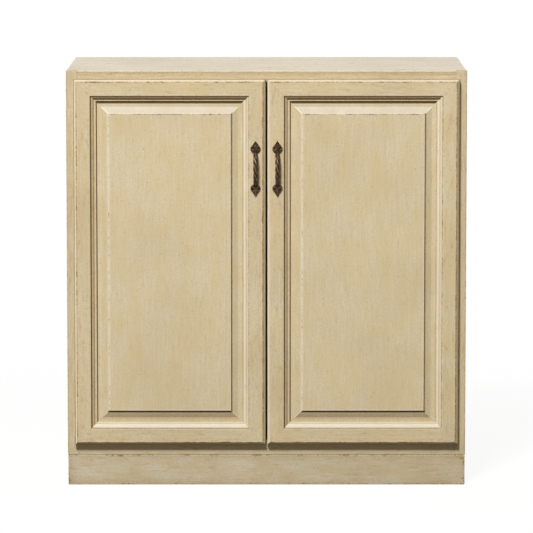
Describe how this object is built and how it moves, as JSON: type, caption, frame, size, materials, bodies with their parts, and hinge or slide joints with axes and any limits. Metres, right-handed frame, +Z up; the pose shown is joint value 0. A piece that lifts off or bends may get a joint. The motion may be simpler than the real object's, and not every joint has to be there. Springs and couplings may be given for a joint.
{
  "type": "two-door base cabinet",
  "caption": "Floor-standing base cabinet on a plinth: face frame, mitred raised-panel doors on concealed cup hinges, leaf-ended bow pulls, adjustable shelf, magnetic catches.",
  "frame": {"origin": "middle of the footprint, on the floor", "axes": "+Z up, the doors face -Y, +X to the right of someone who faces the doors"},
  "size_m": [0.914, 0.504, 0.955],
  "materials": {
    "cream_paint": "antique cream paint with an umber glaze rubbed into the mouldings and worn edges",
    "plinth_paint": "the same paint and glaze, a little greyer, brushed along the boards",
    "bare_wood": "clear-sealed birch, inside the case",
    "bronze": "oil-rubbed bronze casting, copper showing on the high places",
    "steel": "nickel-plated steel",
    "catch_plastic": "moulded tan plastic",
    "bumper_rubber": "soft clear pad"
  },
  "bodies": {
    "case": {"top_panel": "cream_paint", "left_side_panel": "cream_paint", "right_side_panel": "cream_paint", "bottom_panel": "bare_wood", "back_panel": "bare_wood", "back_panel_screws": "steel", "front_stretcher": "bare_wood", "rear_stretcher": "bare_wood", "frame_left_stile": "cream_paint", "frame_right_stile": "cream_paint", "frame_top_rail": "cream_paint", "frame_bottom_rail": "cream_paint", "plinth_front": "plinth_paint", "plinth_back": "bare_wood", "plinth_left": "plinth_paint", "plinth_right": "plinth_paint", "plinth_glue_blocks": "bare_wood", "plinth_block_screws": "steel", "shelf": "bare_wood", "shelf_pins": "steel", "magnetic_catches": "catch_plastic", "catch_screws": "steel", "left_hinge_arms": "steel", "right_hinge_arms": "steel", "left_hinge_arm_screws": "steel", "right_hinge_arm_screws": "steel"},
    "left_door": {"left_door_hinge_stile": "cream_paint", "left_door_meeting_stile": "cream_paint", "left_door_top_rail": "cream_paint", "left_door_bottom_rail": "cream_paint", "left_door_raised_panel": "cream_paint", "left_door_corner_splines": "bare_wood", "left_door_pull": "bronze", "left_door_pull_screws": "steel", "left_door_hinge_cups": "steel", "left_door_hinge_pins": "steel", "left_door_cup_screws": "steel", "left_door_strike_plate": "steel", "left_door_strike_screw": "steel", "left_door_bumpers": "bumper_rubber"},
    "right_door": {"right_door_hinge_stile": "cream_paint", "right_door_meeting_stile": "cream_paint", "right_door_top_rail": "cream_paint", "right_door_bottom_rail": "cream_paint", "right_door_raised_panel": "cream_paint", "right_door_corner_splines": "bare_wood", "right_door_pull": "bronze", "right_door_pull_screws": "steel", "right_door_hinge_cups": "steel", "right_door_hinge_pins": "steel", "right_door_cup_screws": "steel", "right_door_strike_plate": "steel", "right_door_strike_screw": "steel", "right_door_bumpers": "bumper_rubber"}
  },
  "joints": [
    {"name": "left_door_swing", "type": "hinge", "parent": "case", "child": "left_door", "pos_m": [-0.4305, -0.2165, 0.51625], "axis": [0, 0, -1], "range_deg": [0, 105]},
    {"name": "right_door_swing", "type": "hinge", "parent": "case", "child": "right_door", "pos_m": [0.4305, -0.2165, 0.51625], "axis": [0, 0, 1], "range_deg": [0, 105]}
  ]
}
